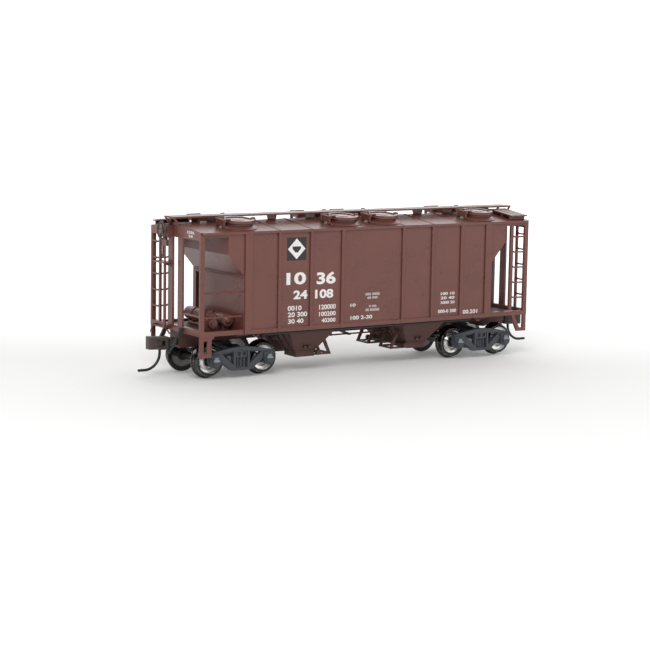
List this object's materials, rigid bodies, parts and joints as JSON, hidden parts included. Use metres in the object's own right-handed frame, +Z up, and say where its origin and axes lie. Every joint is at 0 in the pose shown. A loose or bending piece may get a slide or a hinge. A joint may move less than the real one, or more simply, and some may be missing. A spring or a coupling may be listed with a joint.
{
  "type": "model hopper car",
  "caption": "Scale model covered hopper railway car with sloped ends, roof hatches, open end platforms, swivelling trucks with metal wheelsets, and knuckle couplers.",
  "frame": {"origin": "middle of the car between the two trucks, on the plane of the rail heads the wheel treads run on; the wheel flanges reach below it", "axes": "+X along the car, away from the hand brake end; +Y across the car; +Z up"},
  "size_m": [0.1504, 0.0328, 0.0491],
  "materials": {
    "shell_plastic": "satin oxide-brown moulded plastic",
    "detail_plastic": "satin oxide-brown moulded plastic, small detail parts",
    "underframe_plastic": "matt oxide-brown moulded plastic",
    "dark_plastic": "matt black-brown moulded plastic",
    "truck_plastic": "matt blue-black moulded plastic",
    "lid_plastic": "matt grey, highlighted journal lids",
    "wheel_metal": "bright turned and plated metal",
    "axle_metal": "dark steel",
    "bush_plastic": "black insulating plastic",
    "coupler_plastic": "matt brown-black moulded plastic",
    "pin_metal": "blackened steel wire",
    "hose_rubber": "matt black",
    "screw_metal": "plain steel",
    "spring_bronze": "thin phosphor bronze sheet",
    "ballast_steel": "raw steel bar"
  },
  "bodies": {
    "car": {"body_shell": "shell_plastic", "roof": "shell_plastic", "end_frame_a": "shell_plastic", "end_frame_b": "shell_plastic", "hatch_covers": "detail_plastic", "hatch_latches": "detail_plastic", "running_board": "detail_plastic", "board_saddles": "detail_plastic", "lateral_platforms": "detail_plastic", "side_ladders": "detail_plastic", "end_ladders": "detail_plastic", "handrails": "detail_plastic", "stirrup_steps": "detail_plastic", "roping_loops": "detail_plastic", "brake_housing": "detail_plastic", "brake_rods": "detail_plastic", "brake_step": "detail_plastic", "brake_cylinder": "detail_plastic", "air_reservoir": "detail_plastic", "control_valve": "detail_plastic", "air_pipes": "detail_plastic", "uncoupling_levers": "detail_plastic", "underframe": "underframe_plastic", "hopper_bay_a": "underframe_plastic", "hopper_bay_b": "underframe_plastic", "outlet_gates": "underframe_plastic", "gate_shafts": "underframe_plastic", "coupler_covers": "underframe_plastic", "brake_rigging": "underframe_plastic", "train_line": "dark_plastic", "air_hoses": "hose_rubber", "cover_screws": "screw_metal", "kingpin_screws": "screw_metal", "centring_springs": "spring_bronze", "ballast_weight": "ballast_steel"},
    "brake_wheel": {"brake_wheel": "dark_plastic"},
    "truck_a": {"truck_frame_a": "truck_plastic", "journal_lids_a": "lid_plastic"},
    "truck_b": {"truck_frame_b": "truck_plastic", "journal_lids_b": "lid_plastic"},
    "coupler_a": {"coupler_a": "coupler_plastic", "trip_pin_a": "pin_metal"},
    "coupler_b": {"coupler_b": "coupler_plastic", "trip_pin_b": "pin_metal"},
    "knuckle_a": {"knuckle_a": "coupler_plastic"},
    "knuckle_b": {"knuckle_b": "coupler_plastic"},
    "wheelset_1": {"axle_1": "axle_metal", "wheels_1": "wheel_metal", "wheel_bushes_1": "bush_plastic"},
    "wheelset_2": {"axle_2": "axle_metal", "wheels_2": "wheel_metal", "wheel_bushes_2": "bush_plastic"},
    "wheelset_3": {"axle_3": "axle_metal", "wheels_3": "wheel_metal", "wheel_bushes_3": "bush_plastic"},
    "wheelset_4": {"axle_4": "axle_metal", "wheels_4": "wheel_metal", "wheel_bushes_4": "bush_plastic"}
  },
  "joints": [
    {"name": "truck_a_swivel", "type": "hinge", "parent": "car", "child": "truck_a", "pos_m": [0.0458, 0, 0.0093], "axis": [0, 0, 1], "range_deg": [-12, 12]},
    {"name": "truck_b_swivel", "type": "hinge", "parent": "car", "child": "truck_b", "pos_m": [-0.0458, 0, 0.0093], "axis": [0, 0, 1], "range_deg": [-12, 12]},
    {"name": "wheelset_1_spin", "type": "hinge", "parent": "truck_b", "child": "wheelset_1", "pos_m": [-0.0552, 0, 0.0048], "axis": [0, 1, 0], "continuous": true},
    {"name": "wheelset_2_spin", "type": "hinge", "parent": "truck_b", "child": "wheelset_2", "pos_m": [-0.0364, 0, 0.0048], "axis": [0, 1, 0], "continuous": true},
    {"name": "wheelset_3_spin", "type": "hinge", "parent": "truck_a", "child": "wheelset_3", "pos_m": [0.0364, 0, 0.0048], "axis": [0, 1, 0], "continuous": true},
    {"name": "wheelset_4_spin", "type": "hinge", "parent": "truck_a", "child": "wheelset_4", "pos_m": [0.0552, 0, 0.0048], "axis": [0, 1, 0], "continuous": true},
    {"name": "coupler_a_swing", "type": "hinge", "parent": "car", "child": "coupler_a", "pos_m": [0.056, 0, 0.0101], "axis": [0, 0, 1], "range_deg": [-9, 9]},
    {"name": "coupler_b_swing", "type": "hinge", "parent": "car", "child": "coupler_b", "pos_m": [-0.056, 0, 0.0101], "axis": [0, 0, 1], "range_deg": [-9, 9]},
    {"name": "knuckle_a_open", "type": "hinge", "parent": "coupler_a", "child": "knuckle_a", "pos_m": [0.0679, 0.00135, 0.0101], "axis": [0, 0, 1], "range_deg": [0, 30]},
    {"name": "knuckle_b_open", "type": "hinge", "parent": "coupler_b", "child": "knuckle_b", "pos_m": [-0.0679, -0.00135, 0.0101], "axis": [0, 0, 1], "range_deg": [0, 30]},
    {"name": "brake_wheel_turn", "type": "hinge", "parent": "car", "child": "brake_wheel", "pos_m": [-0.065, 0.0032, 0.044], "axis": [1, 0, 0], "continuous": true}
  ]
}
